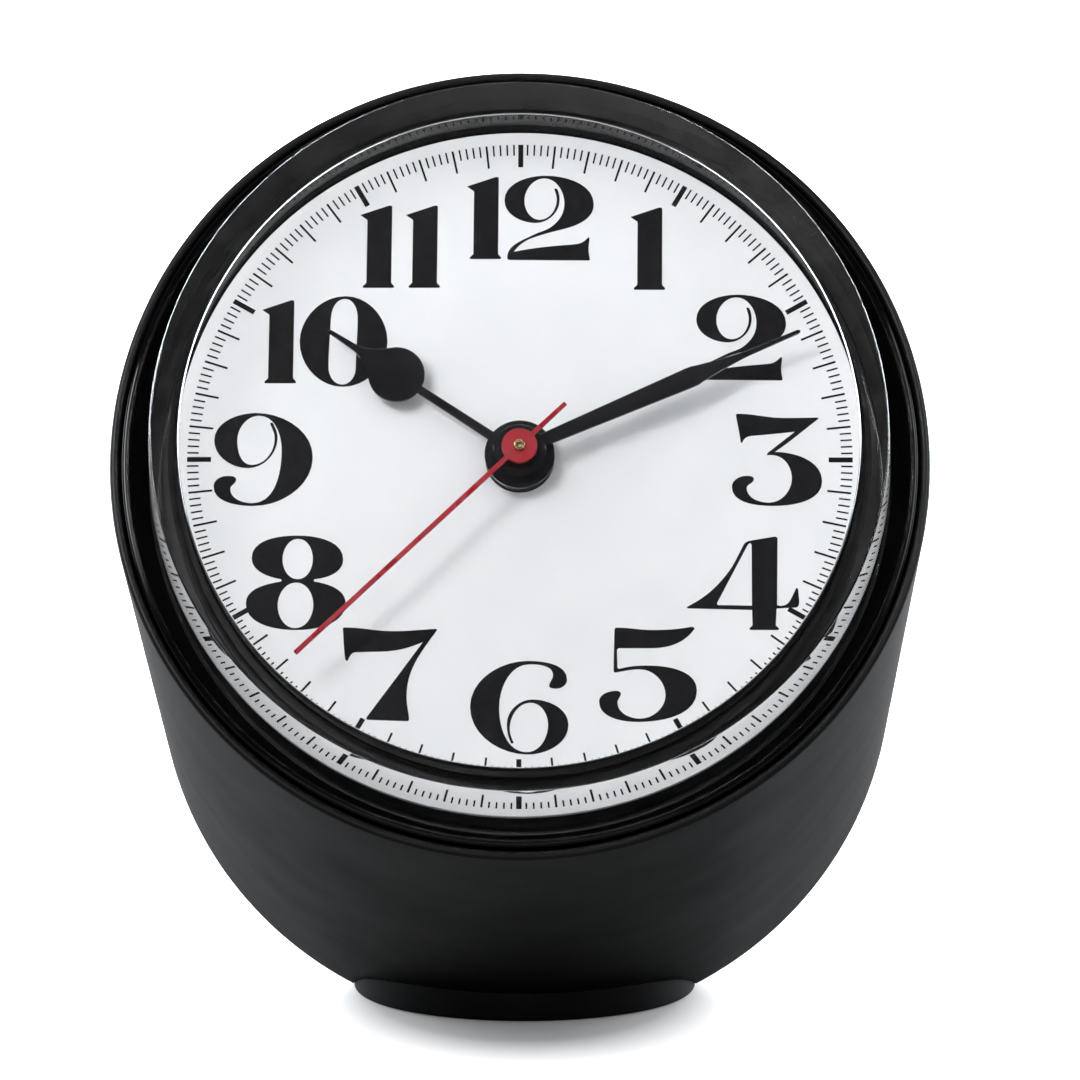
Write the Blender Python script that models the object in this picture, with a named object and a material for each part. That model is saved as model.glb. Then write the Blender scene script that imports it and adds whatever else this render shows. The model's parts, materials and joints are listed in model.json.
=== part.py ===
"""Desk clock: a black drawn case leaning back on a weighted round foot, with a quartz clock unit.

The origin is the centre of the resting face on the table, +Z is up and the dial faces -Y.
Lengths are in millimetres and become metres when a mesh is made. The clock's own frame has its
origin in the middle of the rim plane: z runs out of the dial along the axis, y points at twelve.
"""

import math

import bmesh
import bpy
from mathutils import Matrix, Vector
from mathutils.geometry import tessellate_polygon

MM = 0.001

# Case
LEAN = 24.4  # angle of the clock's axis above the table, degrees
RIM_R = 42.5
DRAFT = 0.0086  # how much the case narrows per millimetre of depth
TUBE_LENGTH = 82.6
DOME_LENGTH = 20.0
WALL = 1.0
DOME_BACK = 12.5  # middle of the dome behind the middle of the foot
DOME_UP = 34.9
SEGMENTS = 72

# Foot and weight, heights above the table
FOOT_R = 19.3
FOOT_LIFT = 0.15
FOOT_TOP = 10.0
PAD_R = 16.8
PAD_TOP = 1.0
FOOT_SCREW_CIRCLE = 10.0
FOOT_SCREW_WAYS = (90.0, 210.0, 330.0)
SCREW_R = 2.0
SCREW_HEAD_R = 3.2
SCREW_SEAT = 3.5
SCREW_END = 19.0
WEIGHT_FRONT = -14.0
WEIGHT_TOP = 27.0
SEAT_GAP = 0.15  # between the case and what lies against it

# Clock unit, heights along the axis from the rim plane
BEZEL_R = 41.1
FUNNEL_R = 38.65
FUNNEL_BACK = -5.3
SHOULDER_BACK = -6.3
SKIRT_BACK = -14.0
CRYSTAL_R = 38.4
CRYSTAL_FRONT = 10.2
CRYSTAL_FRONT_R = 37.8
CRYSTAL_TAPER = -2.5  # where the side starts to draw in towards the front
CRYSTAL_BELLY = 0.1  # how far the side bows out from a straight taper
CRYSTAL_PLATE = 2.8
CRYSTAL_BORE = 36.2
CRYSTAL_NECK = 35.0  # bore just behind the front plate
FLANGE_R = 40.1
DIAL_R = 36.0
DIAL_TOP = -1.1
DIAL_BACK = -1.9
CARRIER_R = 35.6
CARRIER_BORE = 34.4

# Hands: angle clockwise from twelve, height of the underside of the blade
HOUR_ANGLE = 304.0
HOUR_HEIGHT = 0.5
MINUTE_ANGLE = 66.0
MINUTE_HEIGHT = 2.1
SECOND_ANGLE = 226.0
SECOND_HEIGHT = 3.7

# Wheel train: teeth and modules
PINION = 6
ROTOR_WHEEL = 36
SECOND_WHEEL = 30
THIRD_WHEEL = 45
MINUTE_WHEEL = 48
MOTION_PINION = 8
REVERSE_WHEEL = 24
HOUR_WHEEL = 32
ROTOR_MODULE = 0.25
SECOND_MODULE = 0.41
MINUTE_MODULE = 0.27
THIRD_MODULE = MINUTE_MODULE * (PINION + MINUTE_WHEEL) / (PINION + THIRD_WHEEL)
REVERSE_MODULE = 0.45
HOUR_MODULE = REVERSE_MODULE * (MOTION_PINION + REVERSE_WHEEL) / (MOTION_PINION + HOUR_WHEEL)
PIVOT_R = 0.3
PIVOT_HOLE = 0.42

# Directions between wheel axes, degrees anticlockwise from three o'clock
THIRD_WAY = 155.0
INTERMEDIATE_WAY = 35.0
ROTOR_WAY = 5.0
REVERSE_WAY = -30.0
KNOB_WAY = -10.0

# Movement housing
HOUSING_SIDE = 25.0
HOUSING_TOP = 24.0
HOUSING_BOTTOM = -23.2
HOUSING_FRONT = -3.6
HOUSING_BACK = -18.0
POCKET_BOTTOM = -10.0
BATTERY_Y = -16.6
BATTERY_Z = -10.6
BATTERY_R = 5.25
COIL_Y = 14.6
COIL_Z = -10.5
COIL_X = 9.3
HOUSING_SCREW = (21.0, 20.5)
KNOB_FRONT = -18.4


def case_frame():
    """The clock's own frame in the world."""
    lean = math.radians(LEAN)
    back = DOME_BACK - TUBE_LENGTH * math.cos(lean)
    up = DOME_UP + TUBE_LENGTH * math.sin(lean)
    turn = Matrix.Rotation(math.pi / 2 - lean, 4, "X")
    return Matrix.Translation(Vector((0.0, back, up)) * MM) @ turn


WORLD = Matrix.Identity(4)
CLOCK = case_frame()


def polar(distance, degrees):
    angle = math.radians(degrees)
    return Vector((distance * math.cos(angle), distance * math.sin(angle)))


def mesh_distance(first_teeth, second_teeth, module):
    return (first_teeth + second_teeth) * module / 2


THIRD_AXIS = polar(mesh_distance(PINION, THIRD_WHEEL, THIRD_MODULE), THIRD_WAY)
INTERMEDIATE_AXIS = polar(mesh_distance(PINION, SECOND_WHEEL, SECOND_MODULE), INTERMEDIATE_WAY)
ROTOR_AXIS = INTERMEDIATE_AXIS + polar(mesh_distance(PINION, ROTOR_WHEEL, ROTOR_MODULE), ROTOR_WAY)
REVERSE_DISTANCE = mesh_distance(MOTION_PINION, REVERSE_WHEEL, REVERSE_MODULE)
REVERSE_AXIS = polar(REVERSE_DISTANCE, REVERSE_WAY)
KNOB_AXIS = REVERSE_AXIS + polar(REVERSE_DISTANCE, KNOB_WAY)


# ---------------------------------------------------------------- materials


def material(name, colour, roughness, metallic=0.0, transmission=0.0):
    made = bpy.data.materials.new(name)
    made.use_nodes = True
    shader = made.node_tree.nodes["Principled BSDF"]
    shader.inputs["Base Color"].default_value = (*colour, 1.0)
    shader.inputs["Roughness"].default_value = roughness
    shader.inputs["Metallic"].default_value = metallic
    shader.inputs["Transmission Weight"].default_value = transmission
    return made


# ---------------------------------------------------------------- outlines


def arc(centre, radius, start, end, steps):
    """Points along an arc, angles in degrees."""
    turns = [math.radians(start + (end - start) * i / steps) for i in range(steps + 1)]
    return [(centre[0] + radius * math.cos(t), centre[1] + radius * math.sin(t)) for t in turns]


def circle(radius, steps, centre=(0.0, 0.0)):
    return arc(centre, radius, 0, 360, steps)[:-1]


def box(left, right, bottom, top):
    return [(left, bottom), (right, bottom), (right, top), (left, top)]


def rounded_box(left, right, bottom, top, radius, steps=3):
    points = arc((right - radius, bottom + radius), radius, -90, 0, steps)
    points += arc((right - radius, top - radius), radius, 0, 90, steps)
    points += arc((left + radius, top - radius), radius, 90, 180, steps)
    points += arc((left + radius, bottom + radius), radius, 180, 270, steps)
    return points


def gear(teeth, module, phase=0.0):
    """Outline of a toothed wheel with one tooth pointing at the phase angle, in radians."""
    pitch = 2 * math.pi / teeth
    tip = (teeth / 2 + 0.8) * module
    root = (teeth / 2 - 1.15) * module
    corners = ((root, -0.22), (tip, -0.075), (tip, 0.075), (root, 0.22))
    points = []
    for tooth in range(teeth):
        for radius, turn in corners:
            angle = phase + (tooth + turn) * pitch
            points.append((radius * math.cos(angle), radius * math.sin(angle)))
    return points


def meshing_phase(driver_teeth, driver_phase, teeth, way):
    """Phase that turns a gap of a wheel towards the driver's tooth; way leads from the driver."""
    way = math.radians(way)
    return way + math.pi + math.pi / teeth + (way - driver_phase) * driver_teeth / teeth


def bladed(hub_radius, blade, steps=32):
    """Outline of a hand pointing at +Y: a round hub and a blade of (distance, half width) points."""
    foot = blade[0][1]
    start = math.degrees(math.asin(foot / hub_radius))
    hub = arc((0.0, 0.0), hub_radius, 90 + start, 450 - start, steps)
    right = [(half, distance) for distance, half in blade[1:]]
    left = [(-half, distance) for distance, half in reversed(blade[1:])]
    return hub + right + left


# ---------------------------------------------------------------- solids


def finish(name, bm, look, frame):
    """Turn a bmesh in millimetres into a named object whose origin is the frame's."""
    bmesh.ops.remove_doubles(bm, verts=bm.verts, dist=0.002)
    bmesh.ops.recalc_face_normals(bm, faces=bm.faces)
    bmesh.ops.scale(bm, vec=(MM, MM, MM), verts=bm.verts)
    mesh = bpy.data.meshes.new(name)
    bm.to_mesh(mesh)
    bm.free()
    mesh.shade_smooth()
    mesh.set_sharp_from_angle(angle=math.radians(32))
    if look is not None:
        mesh.materials.append(look)
    made = bpy.data.objects.new(name, mesh)
    bpy.context.collection.objects.link(made)
    made.matrix_world = frame
    return made


def turned(name, profile, look, frame=CLOCK, steps=SEGMENTS, ring=False):
    """Revolve (radius, height) points about z: from axis to axis, or a closed ring profile."""
    bm = bmesh.new()
    rings = []
    for radius, height in profile:
        if radius < 1e-6:
            rings.append([bm.verts.new((0.0, 0.0, height))] * steps)
        else:
            rings.append([bm.verts.new((x, y, height)) for x, y in circle(radius, steps)])
    pairs = list(zip(rings, rings[1:]))
    if ring:
        pairs.append((rings[-1], rings[0]))
    for first, second in pairs:
        for i in range(steps):
            j = (i + 1) % steps
            corners = dict.fromkeys((first[i], first[j], second[j], second[i]))
            bm.faces.new(corners)
    return finish(name, bm, look, frame)


def encloses(loop, point):
    """Whether a point lies inside a loop: count the edges to its right."""
    x, y = point
    crossings = 0
    for (x0, y0), (x1, y1) in zip(loop, loop[1:] + loop[:1]):
        if (y0 > y) != (y1 > y) and x < x0 + (x1 - x0) * (y - y0) / (y1 - y0):
            crossings += 1
    return crossings % 2 == 1


def fill(bm, loops, height):
    """Flat faces between each outer loop and the loops it encloses."""
    for outer in loops:
        others = [loop for loop in loops if loop is not outer]
        if any(encloses(loop, outer[0]) for loop in others):
            continue
        group = [outer] + [loop for loop in others if encloses(outer, loop[0])]
        made = [bm.verts.new((x, y, height)) for loop in group for x, y in loop]
        lines = [[Vector((x, y, 0.0)) for x, y in loop] for loop in group]
        for triangle in tessellate_polygon(lines):
            bm.faces.new([made[i] for i in triangle])


def stack(name, layers, look, frame=CLOCK):
    """Stack prisms into one body; a layer is (bottom, top, [outline, hole, ...])."""
    bm = bmesh.new()
    for bottom, top, loops in layers:
        for loop in loops:
            low = [bm.verts.new((x, y, bottom)) for x, y in loop]
            high = [bm.verts.new((x, y, top)) for x, y in loop]
            for i in range(len(loop)):
                j = (i + 1) % len(loop)
                bm.faces.new((low[i], low[j], high[j], high[i]))
    fill(bm, layers[0][2], layers[0][0])
    fill(bm, layers[-1][2], layers[-1][1])
    for under, over in zip(layers, layers[1:]):
        changing = [loop for loop in under[2] if loop not in over[2]]
        changing += [loop for loop in over[2] if loop not in under[2]]
        fill(bm, changing, under[1])
    return finish(name, bm, look, frame)


def at(axis, height=0.0):
    """Frame on an axis of the clock unit, at a height."""
    return CLOCK @ Matrix.Translation(Vector((axis[0], axis[1], height)) * MM)


def sideways(x, y, z):
    """Frame in the clock unit whose own z axis points along x."""
    return at((x, y), z) @ Matrix.Rotation(math.pi / 2, 4, "Y")


def hidden(cutter):
    cutter.hide_render = True
    cutter.display_type = "WIRE"
    return cutter


def boolean(target, other, operation="DIFFERENCE"):
    made = target.modifiers.new(other.name, "BOOLEAN")
    made.operation = operation
    made.solver = "EXACT"
    made.object = other


# ---------------------------------------------------------------- case and foot


def dome(inset, steps):
    """Profile from the tube's end to the pole of the rounded rear, set in from the outside."""
    across = RIM_R - DRAFT * TUBE_LENGTH - inset
    length = DOME_LENGTH - inset
    turns = [math.pi / 2 * i / steps for i in range(steps + 1)]
    points = [(across * math.cos(t), -TUBE_LENGTH - length * math.sin(t)) for t in turns]
    points[-1] = (0.0, points[-1][1])
    return points


def make_case(look):
    lip = [
        (RIM_R, -0.45),
        (RIM_R - 0.12, -0.12),
        (RIM_R - 0.45, 0.0),
        (RIM_R - 0.85, -0.08),
        (RIM_R - WALL, -0.4),
    ]
    profile = list(reversed(dome(0.0, 9))) + lip + dome(WALL, 5)
    return turned("case_shell", profile, look)


def make_foot(look):
    """Round plug through the bottom of the case, with a recess for the pad and three screw holes."""
    spots = [polar(FOOT_SCREW_CIRCLE, way) for way in FOOT_SCREW_WAYS]
    recess = circle(PAD_R + 0.3, 40)
    heads = [circle(SCREW_HEAD_R + 0.3, 16, spot) for spot in spots]
    holes = [circle(SCREW_R + 0.15, 12, spot) for spot in spots]
    rim = circle(FOOT_R, 64)
    layers = [
        (FOOT_LIFT, FOOT_LIFT + 0.2, [circle(FOOT_R - 0.15, 64), recess]),
        (FOOT_LIFT + 0.2, PAD_TOP + 0.15, [rim, recess]),
        (PAD_TOP + 0.15, SCREW_SEAT, [rim, *heads]),
        (SCREW_SEAT, FOOT_TOP, [rim, *holes]),
    ]
    stack("foot_disc", layers, look, WORLD)


def make_weight(look, cutters):
    """Cast weight filling the low rear of the case."""
    block = box(-45.0, 45.0, WEIGHT_FRONT, 50.0)
    weight = stack("ballast_weight", [(-5.0, WEIGHT_TOP, [block])], look, WORLD)
    inset = WALL + 0.3
    front = (RIM_R - DRAFT * 20.0 - inset, -20.0)
    profile = list(reversed(dome(inset, 5))) + [front, (0.0, -20.0)]
    boolean(weight, hidden(turned("case_interior", profile, None, steps=SEGMENTS // 2)), "INTERSECT")
    for cutter in cutters:
        boolean(weight, cutter)


def make_foot_screw(number, way, look):
    spot = polar(FOOT_SCREW_CIRCLE, way)
    frame = Matrix.Translation(Vector((spot.x, spot.y, 0.0)) * MM)
    slot = rounded_box(-1.6, 1.6, -0.4, 0.4, 0.2, 1)
    head = circle(SCREW_HEAD_R, 16)
    layers = [
        (PAD_TOP + 0.3, PAD_TOP + 1.2, [head, slot]),
        (PAD_TOP + 1.2, SCREW_SEAT - 0.15, [head]),
        (SCREW_SEAT - 0.15, SCREW_END, [circle(SCREW_R, 12)]),
    ]
    stack(f"foot_screw_{number}", layers, look, frame)
    hole = [(FOOT_TOP, SCREW_END + 1.0, [circle(SCREW_R + 0.15, 12)])]
    return hidden(stack(f"weight_hole_{number}", hole, None, frame))


def make_base(looks):
    opening = [(-12.0, FOOT_TOP + 0.3, [circle(FOOT_R + SEAT_GAP, 64)])]
    opening = hidden(stack("foot_opening", opening, None, WORLD))
    case = make_case(looks["case"])
    boolean(case, opening)
    make_foot(looks["foot"])
    cutters = [opening]
    for number, way in enumerate(FOOT_SCREW_WAYS, 1):
        cutters.append(make_foot_screw(number, way, looks["steel"]))
    make_weight(looks["iron"], cutters)
    layers = [
        (0.0, 0.25, [circle(PAD_R - 0.2, 40)]),
        (0.25, PAD_TOP, [circle(PAD_R, 40)]),
    ]
    stack("foot_pad", layers, looks["rubber"], WORLD)


# ---------------------------------------------------------------- crystal, bezel and dial


def make_bezel(look):
    profile = [
        (BEZEL_R + 0.15, -0.25),
        (BEZEL_R + 0.08, 0.12),
        (BEZEL_R - 0.12, 0.3),
        (BEZEL_R - 0.35, 0.28),
        (BEZEL_R - 0.52, 0.05),
        (FUNNEL_R + 0.1, FUNNEL_BACK + 0.25),
        (FUNNEL_R, FUNNEL_BACK),
        (FUNNEL_R, SHOULDER_BACK),
        (FLANGE_R + 0.2, SHOULDER_BACK),
        (FLANGE_R + 0.2, SKIRT_BACK),
        (BEZEL_R, SKIRT_BACK),
        (BEZEL_R, -1.0),
    ]
    return turned("bezel_ring", profile, look, ring=True)


def crystal_side(steps):
    """Outside of the crystal's wall, from where it starts to draw in up to the front corner."""
    points = []
    for i in range(steps + 1):
        up = i / steps
        radius = CRYSTAL_R + (CRYSTAL_FRONT_R - CRYSTAL_R) * up + 4 * CRYSTAL_BELLY * up * (1 - up)
        points.append((radius, CRYSTAL_TAPER + (CRYSTAL_FRONT - 0.15 - CRYSTAL_TAPER) * up))
    return points


def make_crystal(look):
    """Clear cup whose wall thins from the front plate back to the level of the dial."""
    inside = CRYSTAL_FRONT - CRYSTAL_PLATE
    edge = CRYSTAL_FRONT_R - 0.15
    profile = [
        (0.0, inside),
        (CRYSTAL_NECK - 0.2, inside),
        (CRYSTAL_NECK, inside - 0.2),
        (CRYSTAL_BORE, DIAL_TOP),
        (CRYSTAL_BORE, -7.7),
        (FLANGE_R, -7.7),
        (FLANGE_R, -6.5),
        (CRYSTAL_R, -6.5),
        *crystal_side(5),
        (edge, CRYSTAL_FRONT),
        (24.0, CRYSTAL_FRONT + 0.23),
        (12.0, CRYSTAL_FRONT + 0.36),
        (0.0, CRYSTAL_FRONT + 0.4),
    ]
    return turned("crystal", profile, look)


def make_front(looks):
    make_bezel(looks["gloss"])
    make_crystal(looks["acrylic"])
    flange = circle(FLANGE_R, 48)
    stack("crystal_gasket", [(-8.65, -7.85, [flange, circle(37.2, 48)])], looks["rubber"])
    stack("retaining_ring", [(-13.2, -10.45, [flange, circle(38.2, 48)])], looks["carrier"])
    stack("dial", [(DIAL_BACK, DIAL_TOP, [circle(DIAL_R, SEGMENTS), circle(3.6, 24)])], looks["dial"])
    wall = circle(CARRIER_R, 48)
    bore = circle(CARRIER_BORE, 48)
    plate = [wall, circle(3.7, 24), *housing_screw_holes(1.1)]
    layers = [(-10.3, -8.8, [flange, bore]), (-8.8, -3.35, [wall, bore]), (-3.35, DIAL_BACK - 0.15, plate)]
    stack("dial_carrier", layers, looks["carrier"])


def housing_screw_holes(radius):
    x, y = HOUSING_SCREW
    return [circle(radius, 10, (x, y)), circle(radius, 10, (-x, y))]


# ---------------------------------------------------------------- hands


def hour_blade():
    """Slim shaft, round disc and a needle tip."""
    disc, radius, needle = 15.5, 2.95, 20.7
    points = [(3.0, 0.48), (disc - radius + 0.04, 0.42)]
    for turn in range(20, 131, 11):
        angle = math.radians(turn)
        points.append((disc - radius * math.cos(angle), radius * math.sin(angle)))
    start, half = points[-1]
    for i in range(1, 7):
        left = 1 - i / 6
        points.append((needle - (needle - start) * left, 0.34 + (half - 0.34) * left**1.6))
    return points + [(24.1, 0.18)]


def minute_blade():
    """Long leaf that narrows to a needle."""
    widest, needle = 19.7, 25.8
    points = [(2.0, 0.68), (widest - 0.6, 1.06), (widest + 0.2, 1.04)]
    for i in range(1, 6):
        left = 1 - i / 5
        points.append((needle - (needle - widest) * left, 0.27 + 0.76 * left**1.3))
    return points + [(31.6, 0.2), (31.85, 0.08)]


def hand_frame(angle):
    return CLOCK @ Matrix.Rotation(-math.radians(angle), 4, "Z")


def make_hands(looks):
    bore = circle(2.35, 20)
    layers = [
        (HOUR_HEIGHT - 0.8, HOUR_HEIGHT, [circle(3.4, 24), bore]),
        (HOUR_HEIGHT, HOUR_HEIGHT + 0.5, [bladed(3.65, hour_blade()), bore]),
    ]
    stack("hour_hand", layers, looks["hand"], hand_frame(HOUR_ANGLE))
    bore = circle(1.27, 16)
    layers = [
        (MINUTE_HEIGHT - 0.8, MINUTE_HEIGHT, [circle(2.5, 20), bore]),
        (MINUTE_HEIGHT, MINUTE_HEIGHT + 0.5, [bladed(2.75, minute_blade()), bore]),
    ]
    stack("minute_hand", layers, looks["hand"], hand_frame(MINUTE_ANGLE))
    blade = [(1.5, 0.26), (31.7, 0.24), (31.8, 0.18)]
    outline = bladed(1.85, blade)
    tail = [(-0.25, -1.83), (-0.22, -6.6), (0.22, -6.6), (0.25, -1.83)]
    middle = min(range(len(outline)), key=lambda i: outline[i][1])
    outline = outline[:middle] + tail + outline[middle + 1 :]
    layers = [(SECOND_HEIGHT, SECOND_HEIGHT + 0.35, [outline, circle(0.62, 12)])]
    stack("second_hand", layers, looks["red"], hand_frame(SECOND_ANGLE))
    tube = [(1.6, SECOND_HEIGHT + 0.75, [circle(0.575, 16), circle(0.28, 16)])]
    stack("second_hand_tube", tube, looks["brass"])


# ---------------------------------------------------------------- movement


def make_housing(looks):
    outside = rounded_box(-HOUSING_SIDE, HOUSING_SIDE, HOUSING_BOTTOM, HOUSING_TOP, 2.5)
    pocket = rounded_box(-HOUSING_SIDE + 1, HOUSING_SIDE - 1, POCKET_BOTTOM, HOUSING_TOP - 1, 0.5, 1)
    bay = rounded_box(-24.2, 24.2, HOUSING_BOTTOM + 1, POCKET_BOTTOM - 1, 0.8, 2)
    screws = housing_screw_holes(1.15)
    nose_bore = circle(2.45, 20)
    pivots = [circle(PIVOT_HOLE, 8, REVERSE_AXIS), circle(0.62, 8, KNOB_AXIS)]
    front = [
        (HOUSING_FRONT - 1.0, HOUSING_FRONT, [outside, nose_bore, *pivots, *screws]),
        (HOUSING_FRONT, DIAL_TOP - 0.05, [circle(3.45, 24), nose_bore]),
    ]
    stack("front_housing", front, looks["housing"])
    knob_hole = circle(1.25, 12, KNOB_AXIS)
    back = [
        (HOUSING_BACK, HOUSING_BACK + 1.0, [outside, bay, knob_hole, *screws]),
        (HOUSING_BACK + 1.0, HOUSING_FRONT - 1.15, [outside, bay, pocket]),
    ]
    stack("back_housing", back, looks["housing"])
    plate = box(-23.75, 23.75, POCKET_BOTTOM + 0.25, 10.6)
    going = [circle(PIVOT_HOLE, 8, spot) for spot in (THIRD_AXIS, INTERMEDIATE_AXIS, ROTOR_AXIS)]
    shaft = circle(1.15, 12, KNOB_AXIS)
    holes = [plate, circle(1.4, 12), circle(PIVOT_HOLE, 8, REVERSE_AXIS), *going, shaft]
    stack("middle_plate", [(-8.0, -7.4, holes)], looks["plate"])
    holes = [plate, circle(PIVOT_HOLE, 8), *going, shaft]
    stack("train_bridge", [(-14.3, -13.7, holes)], looks["plate"])
    for number, side in ((1, 1), (2, -1)):
        layers = [
            (HOUSING_BACK - 1.4, HOUSING_BACK - 0.8, [circle(1.9, 12), box(-1.2, 1.2, -0.25, 0.25)]),
            (HOUSING_BACK - 0.8, HOUSING_BACK - 0.2, [circle(1.9, 12)]),
            (HOUSING_BACK - 0.2, -2.5, [circle(0.95, 8)]),
        ]
        spot = (side * HOUSING_SCREW[0], HOUSING_SCREW[1])
        stack(f"movement_screw_{number}", layers, looks["steel"], at(spot))


def arbor(radius, steps=8):
    return [circle(radius, steps)]


def make_train(looks):
    """Rotor to second wheel to minute wheel."""
    pivot = arbor(PIVOT_R)
    phase = meshing_phase(SECOND_WHEEL, 0.0, PINION, INTERMEDIATE_WAY)
    intermediate = [
        (-14.2, -13.0, pivot),
        (-13.0, -12.4, [gear(ROTOR_WHEEL, ROTOR_MODULE)]),
        (-12.4, -10.6, arbor(0.35)),
        (-10.6, -9.6, [gear(PINION, SECOND_MODULE, phase)]),
        (-9.6, -7.5, pivot),
    ]
    stack("intermediate_wheel", intermediate, looks["wheel"], at(INTERMEDIATE_AXIS))
    phase = meshing_phase(ROTOR_WHEEL, 0.0, PINION, ROTOR_WAY)
    rotor = [
        (-14.2, -13.2, pivot),
        (-13.2, -12.2, [gear(PINION, ROTOR_MODULE, phase)]),
        (-12.2, -11.7, arbor(0.35)),
        (-11.7, -9.6, arbor(2.2, 20)),
        (-9.6, -7.5, pivot),
    ]
    stack("rotor", rotor, looks["magnet"], at(ROTOR_AXIS))
    second = [
        (-14.2, -12.0, pivot),
        (-12.0, -10.9, [gear(PINION, THIRD_MODULE)]),
        (-10.9, -10.4, arbor(0.42, 10)),
        (-10.4, -9.8, [gear(SECOND_WHEEL, SECOND_MODULE)]),
        (-9.8, 1.4, arbor(0.42, 10)),
        (1.4, 3.9, arbor(0.22, 8)),
    ]
    stack("second_wheel", second, looks["wheel"])
    phase = meshing_phase(PINION, 0.0, THIRD_WHEEL, THIRD_WAY)
    third = [
        (-14.2, -11.7, pivot),
        (-11.7, -11.1, [gear(THIRD_WHEEL, THIRD_MODULE, phase)]),
        (-11.1, -9.3, arbor(0.35)),
        (-9.3, -8.2, [gear(PINION, MINUTE_MODULE)]),
        (-8.2, -7.5, pivot),
    ]
    stack("third_wheel", third, looks["wheel"], at(THIRD_AXIS))
    phase = meshing_phase(PINION, 0.0, MINUTE_WHEEL, THIRD_WAY + 180)
    outline = gear(MINUTE_WHEEL, MINUTE_MODULE, phase)
    stack("minute_wheel", [(-9.0, -8.3, [outline, circle(1.3, 16)])], looks["wheel"])


def make_motion_work(looks):
    """Cannon pinion to reverse wheel to hour wheel, with the setting pinion and knob."""
    bore = circle(0.75, 12)
    pipe = [circle(1.2, 16), bore]
    cannon = [
        (-9.3, -7.0, pipe),
        (-7.0, -6.1, [gear(MOTION_PINION, REVERSE_MODULE), bore]),
        (-6.1, MINUTE_HEIGHT + 0.65, pipe),
    ]
    stack("cannon_pinion", cannon, looks["brass"])
    pivot = arbor(PIVOT_R)
    phase = meshing_phase(MOTION_PINION, 0.0, REVERSE_WHEEL, REVERSE_WAY)
    reverse = [
        (-7.9, -6.9, pivot),
        (-6.9, -6.2, [gear(REVERSE_WHEEL, REVERSE_MODULE, phase)]),
        (-6.2, -4.8, [gear(MOTION_PINION, HOUR_MODULE)]),
        (-4.8, -3.75, pivot),
    ]
    stack("reverse_wheel", reverse, looks["wheel"], at(REVERSE_AXIS))
    knob_phase = meshing_phase(REVERSE_WHEEL, phase, MOTION_PINION, KNOB_WAY)
    shaft = arbor(0.95, 12)
    setting = [
        (-20.2, -7.0, shaft),
        (-7.0, -6.1, [gear(MOTION_PINION, REVERSE_MODULE, knob_phase)]),
        (-6.1, -3.75, arbor(0.5)),
    ]
    stack("setting_pinion", setting, looks["wheel"], at(KNOB_AXIS))
    grip = []
    for flute in range(18):
        grip += [polar(4.5, flute * 20.0), polar(4.2, flute * 20.0 + 10.0)]
    grip = [tuple(point) for point in grip]
    knob = [(-21.2, -20.4, [grip]), (-20.4, KNOB_FRONT, [grip, circle(1.03, 12)])]
    stack("setting_knob", knob, looks["housing"], at(KNOB_AXIS))
    phase = meshing_phase(MOTION_PINION, 0.0, HOUR_WHEEL, REVERSE_WAY + 180)
    bore = circle(1.65, 16)
    hour = [
        (-5.55, -4.85, [gear(HOUR_WHEEL, HOUR_MODULE, phase), bore]),
        (-4.85, HOUR_HEIGHT + 0.6, [circle(2.3, 20), bore]),
    ]
    stack("hour_wheel", hour, looks["wheel"])


def make_motor(looks):
    """Stator, coil and circuit."""
    reach = 3.62  # half width of the plate where the ring meets the strip
    x, y = ROTOR_AXIS
    strip = 8.4
    ring = arc((x, y), 3.6, 140, 400, 14)
    outline = [(-1.0, 16.0), (-1.0, strip), (x - reach, strip), *ring]
    outline += [(x + reach, strip), (19.6, strip), (19.6, 16.0), (16.4, 16.0)]
    outline += [(16.4, 10.6), (2.2, 10.6), (2.2, 16.0)]
    hole = circle(2.55, 20, ROTOR_AXIS)
    stack("stator_plate", [(-11.4, -10.9, [outline, hole])], looks["soft_iron"])
    core = box(-1.0, 19.6, COIL_Y - 1.1, COIL_Y + 1.1)
    stack("coil_core", [(-10.75, -10.2, [core])], looks["soft_iron"])
    frame = sideways(COIL_X, COIL_Y, COIL_Z)
    bore = circle(1.4, 12)
    flange = [circle(3.5, 16), bore]
    drum = [circle(1.8, 12), bore]
    bobbin = [(-6.4, -5.8, flange), (-5.8, 5.8, drum), (5.8, 6.4, flange)]
    stack("coil_bobbin", bobbin, looks["housing"], frame)
    winding = [(-5.65, 5.65, [circle(3.2, 16), circle(1.95, 12)])]
    stack("coil_winding", winding, looks["copper"], frame)
    board = rounded_box(-18.5, 18.5, 11.3, 22.3, 1.0, 2)
    stack("circuit_board", [(-15.4, -14.6, [board])], looks["board"])
    stack("driver_chip", [(-14.45, -13.5, [box(-10.0, -5.0, 14.0, 19.0)])], looks["chip"])
    can = [(0.0, -3.0), (0.85, -3.0), (1.0, -2.85), (1.0, 2.85), (0.85, 3.0), (0.0, 3.0)]
    frame = at((-14.5, 16.5), -13.45) @ Matrix.Rotation(math.pi / 2, 4, "X")
    turned("quartz_can", can, looks["steel"], frame, 12)


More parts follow.
